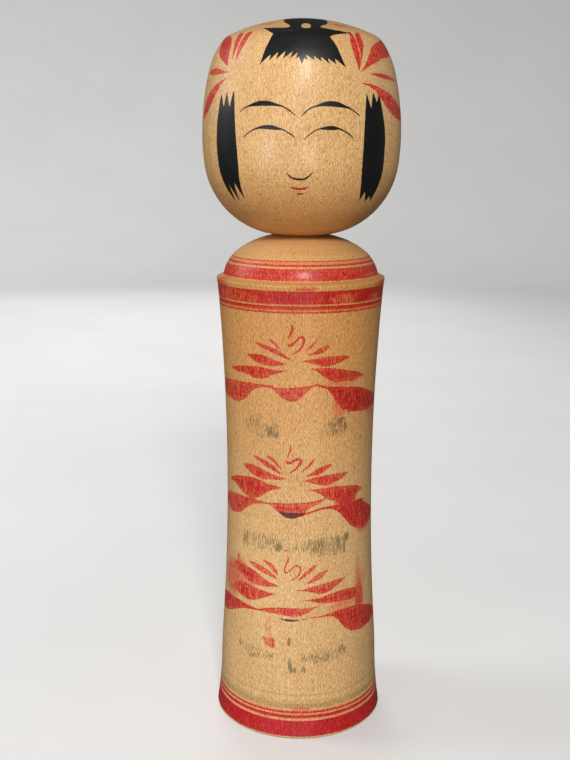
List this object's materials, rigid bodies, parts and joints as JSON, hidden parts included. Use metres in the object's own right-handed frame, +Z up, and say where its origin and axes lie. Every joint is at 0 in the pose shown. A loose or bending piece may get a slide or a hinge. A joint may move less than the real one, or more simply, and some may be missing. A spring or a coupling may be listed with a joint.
{
  "type": "kokeshi doll",
  "caption": "Turned wooden kokeshi doll with a waisted body, domed shoulder and a captive head that turns on its tenon.",
  "frame": {"origin": "middle of the base, on the plane that the doll stands on", "axes": "+Z up the lathe axis towards the crown, -Y out of the face, +X to the right of someone facing the doll"},
  "size_m": [0.0826, 0.0826, 0.303],
  "materials": {
    "painted_body": "waxed satin wood with red dye bands and flowers",
    "painted_head": "waxed satin wood with black hair and red ornaments"
  },
  "bodies": {
    "body": {"body": "painted_body"},
    "head": {"head": "painted_head"}
  },
  "joints": [
    {"name": "head_turn", "type": "hinge", "parent": "body", "child": "head", "pos_m": [0, 0, 0.216], "axis": [0, 0, 1], "continuous": true}
  ]
}
